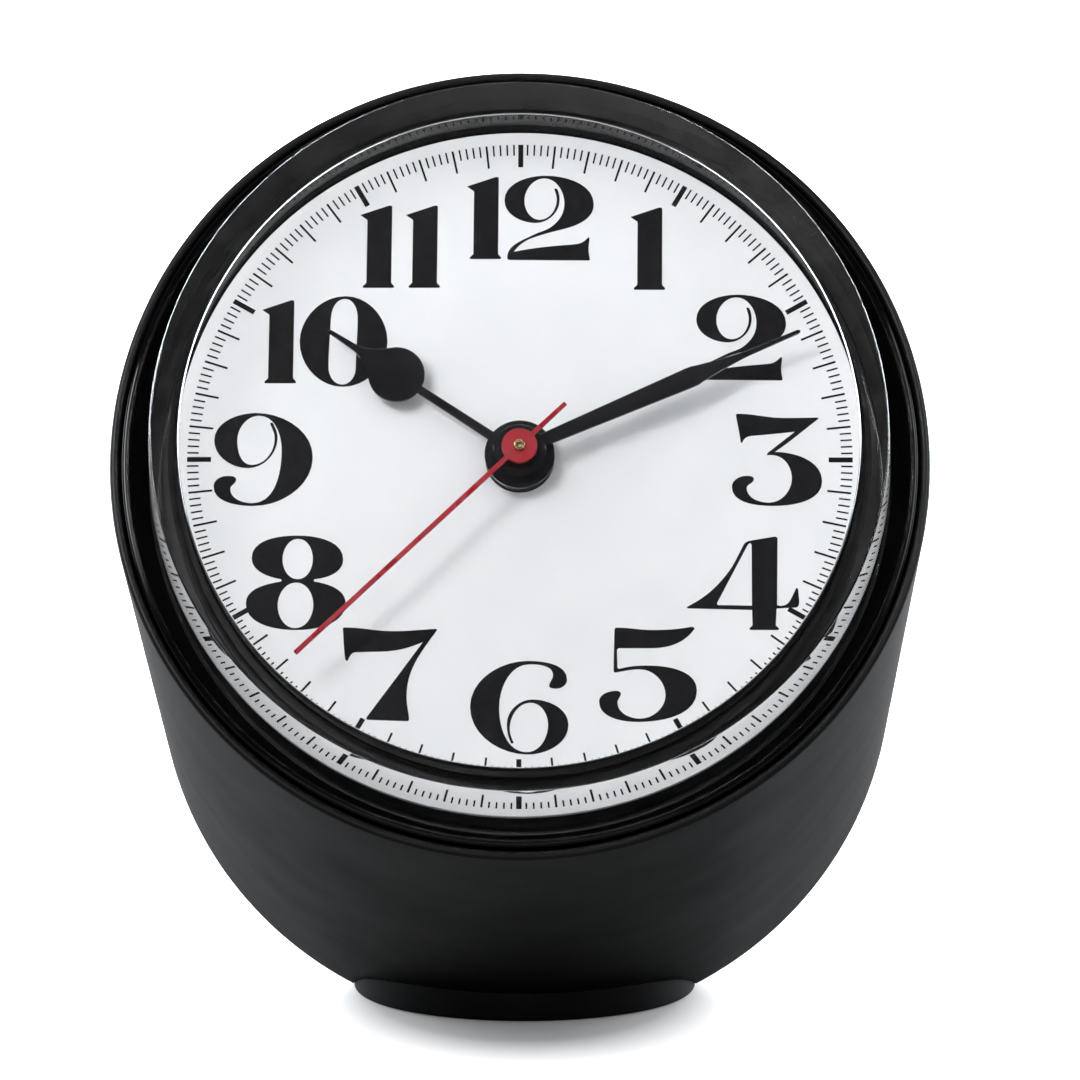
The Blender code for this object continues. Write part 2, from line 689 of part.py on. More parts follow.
def make_battery(looks):
    shell = [
        (0.0, -22.2),
        (BATTERY_R - 0.4, -22.2),
        (BATTERY_R, -21.8),
        (BATTERY_R, 21.2),
        (BATTERY_R - 0.5, 21.6),
        (1.9, 21.6),
        (1.9, 22.6),
        (1.6, 22.85),
        (0.0, 22.85),
    ]
    turned("battery", shell, looks["battery"], sideways(0.0, BATTERY_Y, BATTERY_Z), 24)
    blade = box(-4.6, 4.6, -4.0, 4.0)
    plus = [(0.0, 0.4, [blade])]
    stack("contact_plus", plus, looks["steel"], sideways(23.3, BATTERY_Y, BATTERY_Z))
    minus = [(0.0, 0.4, [blade]), (0.4, 0.8, [circle(2.8, 12)]), (0.8, 1.25, [circle(1.8, 12)])]
    stack("contact_minus", minus, looks["steel"], sideways(-23.8, BATTERY_Y, BATTERY_Z))


def make_looks():
    return {
        "case": material("satin_black_paint", (0.012, 0.012, 0.013), 0.38, 0.1),
        "foot": material("black_foot_paint", (0.011, 0.011, 0.012), 0.4, 0.1),
        "gloss": material("gloss_black", (0.006, 0.006, 0.007), 0.08),
        "acrylic": material("clear_acrylic", (0.95, 0.97, 0.98), 0.01, 0.0, 1.0),
        "dial": material("white_dial", (0.88, 0.89, 0.9), 0.3),
        "hand": material("black_hand_lacquer", (0.01, 0.01, 0.014), 0.2),
        "red": material("red_hand_lacquer", (0.62, 0.02, 0.035), 0.3),
        "brass": material("brass", (0.75, 0.55, 0.25), 0.25, 1.0),
        "rubber": material("black_rubber", (0.02, 0.02, 0.02), 0.8),
        "carrier": material("black_moulding", (0.03, 0.03, 0.032), 0.5),
        "housing": material("grey_moulding", (0.06, 0.06, 0.065), 0.45),
        "plate": material("clear_white_moulding", (0.7, 0.7, 0.66), 0.45),
        "wheel": material("ivory_wheel", (0.72, 0.68, 0.55), 0.4),
        "magnet": material("rotor_magnet", (0.1, 0.1, 0.11), 0.5, 0.6),
        "soft_iron": material("soft_iron", (0.55, 0.55, 0.57), 0.35, 1.0),
        "copper": material("coil_copper", (0.6, 0.22, 0.08), 0.35, 1.0),
        "board": material("circuit_laminate", (0.03, 0.2, 0.07), 0.4),
        "chip": material("chip_resin", (0.015, 0.015, 0.015), 0.35),
        "steel": material("steel", (0.6, 0.6, 0.62), 0.3, 1.0),
        "iron": material("cast_iron", (0.12, 0.12, 0.13), 0.7, 0.6),
        "battery": material("battery_sleeve", (0.1, 0.25, 0.32), 0.3, 0.2),
    }


def build():
    for old in list(bpy.data.objects):
        bpy.data.objects.remove(old)
    looks = make_looks()
    make_base(looks)
    make_front(looks)
    make_hands(looks)
    make_housing(looks)
    make_train(looks)
    make_motion_work(looks)
    make_motor(looks)
    make_battery(looks)


build()
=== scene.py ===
"""Looks, light and camera for the desk clock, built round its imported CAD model.

Lengths are in millimetres and become metres when a mesh is made. The clock's own frame has its
origin in the middle of the rim plane: z runs out of the dial along the axis, y points at twelve.
"""

import json
import math

import bmesh
import bpy
from mathutils import Matrix, Vector
from mathutils.geometry import tessellate_polygon


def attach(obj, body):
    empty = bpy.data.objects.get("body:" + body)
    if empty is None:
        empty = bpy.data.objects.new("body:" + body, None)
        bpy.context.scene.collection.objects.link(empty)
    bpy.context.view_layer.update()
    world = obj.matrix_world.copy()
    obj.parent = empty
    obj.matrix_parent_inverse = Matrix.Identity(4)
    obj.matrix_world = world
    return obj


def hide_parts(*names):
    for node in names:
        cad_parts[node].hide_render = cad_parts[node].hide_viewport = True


MM = 0.001
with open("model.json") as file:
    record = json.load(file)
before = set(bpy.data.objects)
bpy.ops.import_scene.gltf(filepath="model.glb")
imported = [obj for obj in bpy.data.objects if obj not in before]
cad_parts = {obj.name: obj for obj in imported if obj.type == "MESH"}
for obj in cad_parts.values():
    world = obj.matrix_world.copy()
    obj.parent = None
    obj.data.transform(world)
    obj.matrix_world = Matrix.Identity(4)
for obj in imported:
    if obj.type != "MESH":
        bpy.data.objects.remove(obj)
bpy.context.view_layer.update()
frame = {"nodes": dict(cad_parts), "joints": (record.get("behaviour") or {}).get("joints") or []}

# Case and foot
RIM_R = 42.5
DRAFT = 0.0086
TUBE_LENGTH = 82.6
DOME_LENGTH = 20.0
WALL = 1.0
LIP_R = 0.5  # rolled edge of the tube, half the wall
FOOT_R = 19.3
FOOT_GAP = 0.15  # round the foot in the case's opening
FOOT_LIFT = 0.15
FOOT_TOP = 10.0
PAD_R = 16.8
PAD_TOP = 1.0
PAD_SEAT = PAD_TOP + 0.15  # height of the face above the pad
FOOT_EASE = 0.35  # rounding of the foot's lower edge
SCREW_CIRCLE = 10.0
SCREW_WAYS = (90.0, 210.0, 330.0)
SCREW_HOLE_R = 2.15
SCREW_RECESS_R = 3.5
SCREW_SEAT = 3.5  # height of the face the screw heads rest on

# Clock unit, heights along the axis from the rim plane
BEZEL_R = 41.1
FUNNEL_R = 38.65
FUNNEL_BACK = -5.3
SHOULDER_BACK = -6.3
SKIRT_BACK = -14.0
CRYSTAL_R = 38.4
CRYSTAL_FRONT = 10.2
CRYSTAL_FRONT_R = 37.8
CRYSTAL_TAPER = -2.5  # where the side starts to draw in towards the front
CRYSTAL_BELLY = 0.1  # how far the side bows out from a straight taper
CRYSTAL_CROWN = 0.4  # how far the front face swells in the middle
CRYSTAL_PLATE = 2.8
CRYSTAL_BORE = 36.2
CRYSTAL_NECK = 35.0  # bore just behind the front plate
CRYSTAL_EASE = 0.2  # rounding of the crystal's corners
FLANGE_R = 40.1
FLANGE_FRONT = -6.5
FLANGE_BACK = -7.7
DIAL_R = 36.0
DIAL_HOLE_R = 3.6
DIAL_TOP = -1.1
DIAL_BACK = -1.9
INK = 0.03  # height of the print above the dial
INK_GAP = 0.001  # keeps the underside of the print off the dial's face
ACRYLIC_INDEX = 1.49
BORE_DULLNESS = 0.95  # share of its mirroring that the wall of the bore has lost

# Hands: angle clockwise from twelve, height of the underside of the blade
HOUR_ANGLE = 304.0
HOUR_HEIGHT = 0.5
MINUTE_ANGLE = 66.0
MINUTE_HEIGHT = 2.1
SECOND_ANGLE = 226.0
SECOND_HEIGHT = 3.7
HUB_TUBE = 0.8  # how far a hand's tube reaches below its blade

# Minute track, each mark as (length, width), and numerals
TRACK_R = 34.65
HOUR_MARK = (2.5, 0.53)
MINUTE_MARK = (2.5, 0.22)
FIFTH_MARK = (1.2, 0.17)
NUMERAL_CIRCLE = 26.7


def clock_frame():
    """The clock's own frame in the world, from the axis the hands turn about."""
    hinge = [joint for joint in frame["joints"] if joint["name"] == "minute_hand_turn"][0]
    out = -Vector(hinge["axis"]).normalized()
    up = out.cross(Vector((1.0, 0.0, 0.0)))
    turn = Matrix((Vector((1.0, 0.0, 0.0)), up, out)).transposed()
    return Matrix.Translation(Vector(hinge["pos_m"])) @ turn.to_4x4()


WORLD = Matrix.Identity(4)
CLOCK = clock_frame()


# ---------------------------------------------------------------- outlines


def polar(distance, degrees):
    angle = math.radians(degrees)
    return (distance * math.cos(angle), distance * math.sin(angle))


def arc(centre, radius, start, end, steps):
    """Points along an arc, angles in degrees."""
    turns = [math.radians(start + (end - start) * i / steps) for i in range(steps + 1)]
    return [(centre[0] + radius * math.cos(t), centre[1] + radius * math.sin(t)) for t in turns]


def circle(radius, steps, centre=(0.0, 0.0)):
    return arc(centre, radius, 0, 360, steps)[:-1]


def drawn(knots, steps=9):
    """Points along an outline: straight between corners, a cubic curve beside a smooth knot."""
    points = []
    for knot, after in zip(knots, knots[1:] + knots[:1]):
        (x0, y0), (x1, y1) = knot[:2], after[:2]
        if len(knot) + len(after) == 4:
            points.append((x0, y0))
            continue
        chord = math.hypot(x1 - x0, y1 - y0)
        straight = math.degrees(math.atan2(y1 - y0, x1 - x0))
        leave = math.radians(knot[-1] if len(knot) > 2 else straight)
        arrive = math.radians(after[2] if len(after) > 2 else straight)
        reach = 0.375 * chord
        ax, ay = x0 + reach * math.cos(leave), y0 + reach * math.sin(leave)
        bx, by = x1 - reach * math.cos(arrive), y1 - reach * math.sin(arrive)
        for i in range(steps):
            t = i / steps
            s = 1 - t
            a, b, c, d = s**3, 3 * s * s * t, 3 * s * t * t, t**3
            points.append((a * x0 + b * ax + c * bx + d * x1, a * y0 + b * ay + c * by + d * y1))
    return points


def bladed(hub_radius, blade, steps=64):
    """Outline of a hand pointing at +Y: a round hub and a blade of (distance, half width) points."""
    foot = blade[0][1]
    start = math.degrees(math.asin(foot / hub_radius))
    hub = arc((0.0, 0.0), hub_radius, 90 + start, 450 - start, steps)
    right = [(half, distance) for distance, half in blade[1:]]
    left = [(-half, distance) for distance, half in reversed(blade[1:])]
    return hub + right + left


def inset(loop, distance):
    """A loop moved sideways towards its inside (anticlockwise loops shrink)."""
    moved = []
    count = len(loop)
    for i in range(count):
        before, here, after = Vector(loop[i - 1]), Vector(loop[i]), Vector(loop[(i + 1) % count])
        ahead = (after - here).normalized()
        behind = (here - before).normalized()
        side = Vector((-ahead.y - behind.y, ahead.x + behind.x))
        lean = max(side.length / 2, 0.5)
        moved.append(tuple(here + side.normalized() * distance / lean))
    return moved


# ---------------------------------------------------------------- solids


def finish(name, bm, look, place, body):
    """Turn a bmesh in millimetres into a named piece that rides on a CAD body."""
    bmesh.ops.remove_doubles(bm, verts=bm.verts, dist=0.0005)
    bmesh.ops.recalc_face_normals(bm, faces=bm.faces)
    bmesh.ops.scale(bm, vec=(MM, MM, MM), verts=bm.verts)
    mesh = bpy.data.meshes.new(name)
    bm.to_mesh(mesh)
    bm.free()
    mesh.transform(place)
    mesh.shade_smooth()
    mesh.set_sharp_from_angle(angle=math.radians(35))
    mesh.materials.append(look)
    made = bpy.data.objects.new(name, mesh)
    bpy.context.collection.objects.link(made)
    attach(made, body)
    return made


def lathe(name, profile, look, place, body, steps=240, ring=False):
    """Revolve (radius, height) points about z: from axis to axis, or a closed ring profile."""
    bm = bmesh.new()
    rings = []
    for radius, height in profile:
        if radius < 1e-6:
            rings.append([bm.verts.new((0.0, 0.0, height))] * steps)
        else:
            rings.append([bm.verts.new((x, y, height)) for x, y in circle(radius, steps)])
    pairs = list(zip(rings, rings[1:]))
    if ring:
        pairs.append((rings[-1], rings[0]))
    for first, second in pairs:
        for i in range(steps):
            j = (i + 1) % steps
            corners = dict.fromkeys((first[i], first[j], second[j], second[i]))
            bm.faces.new(corners)
    return finish(name, bm, look, place, body)


def cap(bm, loops, height):
    """Flat faces inside the first loop and outside the others."""
    made = [bm.verts.new((x, y, height)) for loop in loops for x, y in loop]
    lines = [[Vector((x, y, 0.0)) for x, y in loop] for loop in loops]
    for triangle in tessellate_polygon(lines):
        bm.faces.new([made[i] for i in triangle])


def wall(bm, low, high):
    """A strip of faces between two loops of (x, y, z) points."""
    low = [bm.verts.new(point) for point in low]
    high = [bm.verts.new(point) for point in high]
    for i in range(len(low)):
        j = (i + 1) % len(low)
        bm.faces.new((low[i], low[j], high[j], high[i]))


def raised(loop, height):
    return [(x, y, height) for x, y in loop]


def prism(bm, loops, bottom, top):
    for loop in loops:
        wall(bm, raised(loop, bottom), raised(loop, top))
    cap(bm, loops, bottom)
    cap(bm, loops, top)


# ---------------------------------------------------------------- materials


class Look:
    """A Principled material and short ways to drive its inputs from textures."""

    def __init__(self, name, colour, roughness, metallic=0.0, **inputs):
        self.material = bpy.data.materials.new(name)
        self.material.use_nodes = True
        self.nodes = self.material.node_tree.nodes
        self.links = self.material.node_tree.links
        self.shader = self.nodes["Principled BSDF"]
        self.set("Base Color", (*colour, 1.0))
        self.set("Roughness", roughness)
        self.set("Metallic", metallic)
        for key, value in inputs.items():
            self.set(key.replace("_", " "), value)
        self.place = self.nodes.new("ShaderNodeTexCoord").outputs["Object"]

    def set(self, name, value):
        self.shader.inputs[name].default_value = value

    def link(self, source, name):
        self.links.new(source, self.shader.inputs[name])

    def noise(self, size, detail=2.0, stretch=(1.0, 1.0, 1.0)):
        """Noise whose features are about size millimetres across."""
        mapping = self.nodes.new("ShaderNodeMapping")
        mapping.inputs["Scale"].default_value = stretch
        self.links.new(self.place, mapping.inputs["Vector"])
        texture = self.nodes.new("ShaderNodeTexNoise")
        texture.inputs["Scale"].default_value = 1000.0 / size
        texture.inputs["Detail"].default_value = detail
        self.links.new(mapping.outputs["Vector"], texture.inputs["Vector"])
        return texture.outputs["Fac"]

    def ramp(self, source, low, high, start=0.35, end=0.65):
        """Source stretched from start..end to a number or a colour between low and high."""
        if isinstance(low, tuple):
            node = self.nodes.new("ShaderNodeMix")
            node.data_type = "RGBA"
            share, first, second = (node.inputs[i] for i in (0, 6, 7))  # a Mix node's colour sockets
            self.links.new(self.ramp(source, 0.0, 1.0, start, end), share)
            first.default_value = (*low, 1.0)
            second.default_value = (*high, 1.0)
            return node.outputs[2]
        node = self.nodes.new("ShaderNodeMapRange")
        self.links.new(source, node.inputs["Value"])
        for key, value in (("From Min", start), ("From Max", end), ("To Min", low), ("To Max", high)):
            node.inputs[key].default_value = value
        return node.outputs["Result"]

    def mix(self, share, first, second):
        """One shader where share is 0, the other where it is 1."""
        node = self.nodes.new("ShaderNodeMixShader")
        for source, socket in zip((share, first, second), node.inputs):
            self.links.new(source, socket)
        return node.outputs[0]

    def bump(self, source, depth):
        """Relief from a texture, depth in millimetres."""
        node = self.nodes.new("ShaderNodeBump")
        node.inputs["Distance"].default_value = depth * MM
        self.links.new(source, node.inputs["Height"])
        self.link(node.outputs["Normal"], "Normal")
        return self

    def grain(self, size, depth, rough, tint=None, patch=12.0):
        """Fine relief, with the roughness and the colour drifting over larger patches."""
        self.bump(self.noise(size), depth)
        drift = self.noise(patch, 4.0)
        self.link(self.ramp(drift, *rough), "Roughness")
        if tint:
            self.link(self.ramp(self.noise(patch * 0.6, 3.0), *tint), "Base Color")
        return self


def paint_look():
    look = Look("satin_black_paint", (0.004, 0.004, 0.0045), 0.34, Specular_IOR_Level=0.36)
    tint = ((0.003, 0.003, 0.0035), (0.005, 0.005, 0.0055))
    return look.grain(0.35, 0.002, (0.31, 0.38), tint).material


def gloss_look():
    look = Look("gloss_black_moulding", (0.001, 0.001, 0.0012), 0.05, Specular_IOR_Level=0.35)
    return look.grain(1.6, 0.0008, (0.04, 0.09)).material


def bore_share(look):
    """BORE_DULLNESS on the wall of the crystal's bore, seen from the dial's side, and 0 elsewhere."""
    own = look.nodes.new("ShaderNodeMapping")
    own.vector_type = "TEXTURE"
    own.inputs["Location"].default_value = CLOCK.translation
    own.inputs["Rotation"].default_value = CLOCK.to_euler()
    look.links.new(look.place, own.inputs["Vector"])
    split = look.nodes.new("ShaderNodeSeparateXYZ")
    look.links.new(own.outputs["Vector"], split.inputs[0])
    flat = look.nodes.new("ShaderNodeCombineXYZ")
    look.links.new(split.outputs["X"], flat.inputs["X"])
    look.links.new(split.outputs["Y"], flat.inputs["Y"])
    radius = look.nodes.new("ShaderNodeVectorMath")
    radius.operation = "LENGTH"
    look.links.new(flat.outputs[0], radius.inputs[0])
    inside = (CRYSTAL_FRONT - CRYSTAL_PLATE) * MM
    middle = (CRYSTAL_BORE + CRYSTAL_FRONT_R) / 2 * MM
    blend = 0.1 * MM
    side = look.nodes.new("ShaderNodeNewGeometry").outputs["Backfacing"]
    share = look.ramp(side, BORE_DULLNESS, 0.0, 0.0, 1.0)
    below = look.ramp(split.outputs["Z"], 1.0, 0.0, inside - blend, inside)
    within = look.ramp(radius.outputs["Value"], 1.0, 0.0, middle, middle + blend)
    for factor in (below, within):
        product = look.nodes.new("ShaderNodeMath")
        product.operation = "MULTIPLY"
        look.links.new(share, product.inputs[0])
        look.links.new(factor, product.inputs[1])
        share = product.outputs[0]
    return share


def acrylic_look():
    """Clear plastic that casts no dark shadow. The bore's wall is dull and mirrors little."""
    pale = (0.99, 0.993, 0.996)
    look = Look("clear_acrylic", pale, 0.0, IOR=ACRYLIC_INDEX, Transmission_Weight=1.0)
    look.link(look.ramp(look.noise(14.0, 5.0), 0.0, 0.012, 0.5, 0.75), "Roughness")
    through = look.nodes.new("ShaderNodeBsdfRefraction")
    through.inputs["Roughness"].default_value = 0.0
    through.inputs["IOR"].default_value = ACRYLIC_INDEX
    clear = look.nodes.new("ShaderNodeBsdfTransparent")
    clear.inputs["Color"].default_value = (0.965, 0.967, 0.97, 1.0)
    path = look.nodes.new("ShaderNodeLightPath")
    shader = look.mix(bore_share(look), look.shader.outputs[0], through.outputs[0])
    shader = look.mix(path.outputs["Is Shadow Ray"], shader, clear.outputs[0])
    look.links.new(shader, look.nodes["Material Output"].inputs["Surface"])
    return look.material


def dial_look():
    look = Look("white_dial_enamel", (0.86, 0.87, 0.885), 0.35)
    tint = ((0.85, 0.86, 0.875), (0.88, 0.885, 0.895))
    return look.grain(0.25, 0.002, (0.3, 0.42), tint, 9.0).material


def ink_look():
    look = Look("printed_ink", (0.005, 0.005, 0.006), 0.5, Specular_IOR_Level=0.1)
    tint = ((0.004, 0.004, 0.005), (0.007, 0.007, 0.008))
    return look.grain(0.12, 0.003, (0.42, 0.58), tint, 2.0).material


def lacquer_look(name, colour, deeper, roughness):
    look = Look(name, colour, roughness, Coat_Weight=0.25, Coat_Roughness=0.06)
    return look.grain(0.5, 0.002, (roughness * 0.8, roughness * 1.3), (deeper, colour), 3.0).material


def moulded_look(name, colour, darker, roughness=0.5):
    look = Look(name, colour, roughness)
    return look.grain(0.18, 0.01, (roughness * 0.85, roughness * 1.15), (darker, colour), 5.0).material


def metal_look(name, colour, darker, roughness, stretch=(1.0, 1.0, 1.0)):
    look = Look(name, colour, roughness, 1.0)
    look.bump(look.noise(0.12, 3.0, stretch), 0.004)
    look.link(look.ramp(look.noise(0.4, 3.0, stretch), roughness * 0.7, roughness * 1.4), "Roughness")
    look.link(look.ramp(look.noise(3.0, 4.0), darker, colour), "Base Color")
    return look.material


def rubber_look():
    look = Look("black_rubber", (0.02, 0.02, 0.021), 0.8)
    return look.grain(0.2, 0.03, (0.7, 0.9), ((0.015, 0.015, 0.016), (0.03, 0.03, 0.03)), 4.0).material


def iron_look():
    look = Look("cast_iron", (0.1, 0.1, 0.11), 0.7, 0.5)
    return look.grain(0.9, 0.12, (0.55, 0.85), ((0.06, 0.06, 0.07), (0.15, 0.14, 0.14)), 6.0).material


def copper_look():
    """Enamelled wire wound round the coil's axis, which lies along x, with painted shade darkening the
    grooves between turns.
    """
    look = Look("coil_copper", (0.55, 0.2, 0.07), 0.3, 0.9)
    wave = look.nodes.new("ShaderNodeTexWave")
    wave.bands_direction = "X"
    wave.inputs["Scale"].default_value = 1000.0 / 0.9
    wave.inputs["Distortion"].default_value = 0.4
    look.links.new(look.place, wave.inputs["Vector"])
    look.bump(wave.outputs["Fac"], 0.06)
    # painted shade: the colour darkens in the grooves between turns and is full copper on the crests
    groove_shade, crest = (0.3, 0.09, 0.03), (0.62, 0.24, 0.09)
    look.link(look.ramp(wave.outputs["Fac"], groove_shade, crest, 0.1, 0.9), "Base Color")
    return look.material


def board_look():
    """Green laminate with lighter tracks under the resist."""
    look = Look("circuit_laminate", (0.02, 0.16, 0.06), 0.35)
    tracks = look.nodes.new("ShaderNodeTexBrick")
    tracks.inputs["Color1"].default_value = (0.02, 0.15, 0.055, 1.0)
    tracks.inputs["Color2"].default_value = (0.025, 0.19, 0.07, 1.0)
    tracks.inputs["Mortar"].default_value = (0.09, 0.32, 0.12, 1.0)
    tracks.inputs["Scale"].default_value = 260.0
    tracks.inputs["Mortar Size"].default_value = 0.06
    look.links.new(look.place, tracks.inputs["Vector"])
    look.link(tracks.outputs["Color"], "Base Color")
    look.bump(tracks.outputs["Fac"], -0.03)
    return look.material


def battery_look():
    """Plain wrapped cell: a coppery band at the positive end, a dark sleeve behind it."""
    look = Look("battery_sleeve", (0.02, 0.05, 0.07), 0.3, 0.4)
    split = look.nodes.new("ShaderNodeSeparateXYZ")
    look.links.new(look.place, split.inputs[0])
    sleeve, band = (0.015, 0.045, 0.065), (0.6, 0.3, 0.12)
    look.link(look.ramp(split.outputs["X"], sleeve, band, 9.3 * MM, 9.5 * MM), "Base Color")
    look.bump(look.noise(0.5), 0.004)
    return look.material


def make_looks():
    black = (0.008, 0.008, 0.01)
    ivory = ((0.7, 0.66, 0.53), (0.6, 0.56, 0.43))
    return {
        "paint": paint_look(),
        "gloss": gloss_look(),
        "acrylic": acrylic_look(),
        "dial": dial_look(),
        "ink": ink_look(),
        "hand": lacquer_look("black_hand_lacquer", black, (0.005, 0.005, 0.007), 0.16),
        "red": lacquer_look("red_hand_lacquer", (0.38, 0.003, 0.014), (0.33, 0.002, 0.01), 0.3),
        "brass": metal_look("brass", (0.8, 0.58, 0.28), (0.6, 0.42, 0.18), 0.22),
        "rubber": rubber_look(),
        "inner": moulded_look("black_moulding", (0.03, 0.03, 0.032), (0.02, 0.02, 0.022)),
        "housing": moulded_look("grey_moulding", (0.05, 0.05, 0.055), (0.035, 0.035, 0.04)),
        "plate": moulded_look("white_moulding", (0.68, 0.68, 0.64), (0.6, 0.6, 0.55)),
        "wheel": moulded_look("ivory_wheel", *ivory, 0.4),
        "magnet": metal_look("rotor_magnet", (0.12, 0.12, 0.13), (0.06, 0.06, 0.07), 0.5),
        "soft_iron": metal_look("soft_iron", (0.55, 0.55, 0.57), (0.4, 0.4, 0.42), 0.35, (0.1, 1.0, 1.0)),
        "steel": metal_look("zinc_steel", (0.62, 0.62, 0.63), (0.45, 0.45, 0.46), 0.28),
        "copper": copper_look(),
        "board": board_look(),
        "chip": moulded_look("chip_resin", (0.015, 0.015, 0.016), (0.01, 0.01, 0.011)),
        "iron": iron_look(),
        "battery": battery_look(),
    }


NODE_LOOKS = {
    "foot_pad": "rubber",
    "foot_screw_1": "steel",
    "foot_screw_2": "steel",
    "foot_screw_3": "steel",
    "ballast_weight": "iron",
    "crystal_gasket": "rubber",
    "retaining_ring": "inner",
    "dial_carrier": "inner",
    "front_housing": "housing",
    "back_housing": "housing",
    "movement_screw_1": "steel",
    "movement_screw_2": "steel",
    "middle_plate": "plate",
    "train_bridge": "plate",
    "stator_plate": "soft_iron",
    "coil_core": "soft_iron",
    "coil_bobbin": "housing",
    "coil_winding": "copper",
    "circuit_board": "board",
    "driver_chip": "chip",
    "quartz_can": "steel",
    "contact_plus": "steel",
    "contact_minus": "steel",
    "battery": "battery",
    "cannon_pinion": "brass",
    "hour_wheel": "wheel",
    "reverse_wheel": "wheel",
    "setting_pinion": "wheel",
    "setting_knob": "housing",
    "second_wheel": "wheel",
    "intermediate_wheel": "wheel",
    "rotor": "magnet",
    "third_wheel": "wheel",
    "minute_wheel": "wheel",
}


def dress_nodes(looks):
    """Give the CAD nodes that stay their materials."""
    for node, look in NODE_LOOKS.items():
        materials = frame["nodes"][node].data.materials
        materials.clear()
        materials.append(looks[look])


# ---------------------------------------------------------------- case and foot


def tube(set_in, steps):
    """Profile of the drawn tube from the rim back to the dome, set in from the outside."""
    points = []
    for i in range(steps):
        depth = LIP_R + (TUBE_LENGTH - LIP_R) * i / steps
        points.append((RIM_R - DRAFT * depth - set_in, -depth))
    return points


def dome(set_in, steps):
    """Profile from the tube's end to the pole of the rounded rear, set in from the outside."""
    across = RIM_R - DRAFT * TUBE_LENGTH - set_in
    length = DOME_LENGTH - set_in
    turns = [math.pi / 2 * i / steps for i in range(steps + 1)]
    points = [(across * math.cos(t), -TUBE_LENGTH - length * math.sin(t)) for t in turns]
    points[-1] = (0.0, points[-1][1])
    return points


def cut(target, other):
    """Take one solid out of another for good."""
    modifier = target.modifiers.new("cut", "BOOLEAN")
    modifier.solver = "EXACT"
    modifier.object = other
    evaluated = target.evaluated_get(bpy.context.evaluated_depsgraph_get())
    mesh = bpy.data.meshes.new_from_object(evaluated)
    target.modifiers.clear()
    target.data = mesh
    bpy.data.objects.remove(other)


def make_case(looks):
    """Drawn tube with a rolled lip, opened below for the foot."""
    lip = arc((RIM_R - LIP_R, -LIP_R), LIP_R, 0, 180, 14)
    outside = tube(0.0, 60) + dome(0.0, 40)
    profile = list(reversed(outside)) + lip[1:-1] + tube(WALL, 20) + dome(WALL, 20)
    shell = lathe("case_tube", profile, looks["paint"], CLOCK, "case", 288)
    bm = bmesh.new()
    below, above = -12.0, FOOT_TOP + 0.3
    prism(bm, [circle(FOOT_R + FOOT_GAP, 180)], below, above)
    opening = finish("foot_opening", bm, looks["paint"], WORLD, "case")
    cut(shell, opening)
    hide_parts("case_shell")


def make_foot(looks):
    """Turned plug with an eased lower edge, a recess for the pad and three screw holes."""
    spots = [polar(SCREW_CIRCLE, way) for way in SCREW_WAYS]
    recess = circle(PAD_R + 0.3, 120)
    heads = [circle(SCREW_RECESS_R, 48, spot) for spot in spots]
    holes = [circle(SCREW_HOLE_R, 36, spot) for spot in spots]
    rim = circle(FOOT_R, 180)
    bm = bmesh.new()
    edge = arc((FOOT_R - FOOT_EASE, FOOT_LIFT + FOOT_EASE), FOOT_EASE, -90, 0, 5)
    for (r0, z0), (r1, z1) in zip(edge, edge[1:]):
        wall(bm, raised(circle(r0, 180), z0), raised(circle(r1, 180), z1))
    wall(bm, raised(rim, edge[-1][1]), raised(rim, FOOT_TOP))
    wall(bm, raised(recess, FOOT_LIFT), raised(recess, PAD_SEAT))
    cap(bm, [circle(FOOT_R - FOOT_EASE, 180), recess], FOOT_LIFT)
    cap(bm, [recess, *heads], PAD_SEAT)
    for head, hole in zip(heads, holes):
        wall(bm, raised(head, PAD_SEAT), raised(head, SCREW_SEAT))
        cap(bm, [head, hole], SCREW_SEAT)
        wall(bm, raised(hole, SCREW_SEAT), raised(hole, FOOT_TOP))
    cap(bm, [rim, *holes], FOOT_TOP)
    foot = finish("foot_plug", bm, looks["paint"], WORLD, "case")
    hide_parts("foot_disc")


# ---------------------------------------------------------------- crystal, bezel and dial


def make_bezel(looks):
    """Gloss ring with a rounded bead at the rim and a funnel down to the crystal."""
    bead = arc((BEZEL_R - 0.28, -0.12), 0.43, 0, 165, 12)
    profile = [
        *bead,
        (FUNNEL_R + 0.12, FUNNEL_BACK + 0.3),
        (FUNNEL_R, FUNNEL_BACK),
        (FUNNEL_R, SHOULDER_BACK),
        (FLANGE_R + 0.2, SHOULDER_BACK),
        (FLANGE_R + 0.2, SKIRT_BACK),
        (BEZEL_R, SKIRT_BACK),
        (BEZEL_R, -1.0),
    ]
    gloss = looks["gloss"]
    ring = lathe("bezel_gloss_ring", profile, gloss, CLOCK, "clock_unit", ring=True)
    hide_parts("bezel_ring")


def crystal_side(steps):
    """Outside of the crystal's wall, bowed, from where it starts to draw in to the front corner."""
    points = []
    for i in range(steps + 1):
        up = i / steps
        radius = CRYSTAL_R + (CRYSTAL_FRONT_R - CRYSTAL_R) * up + 4 * CRYSTAL_BELLY * up * (1 - up)
        points.append((radius, CRYSTAL_TAPER + (CRYSTAL_FRONT - CRYSTAL_EASE - CRYSTAL_TAPER) * up))
    return points


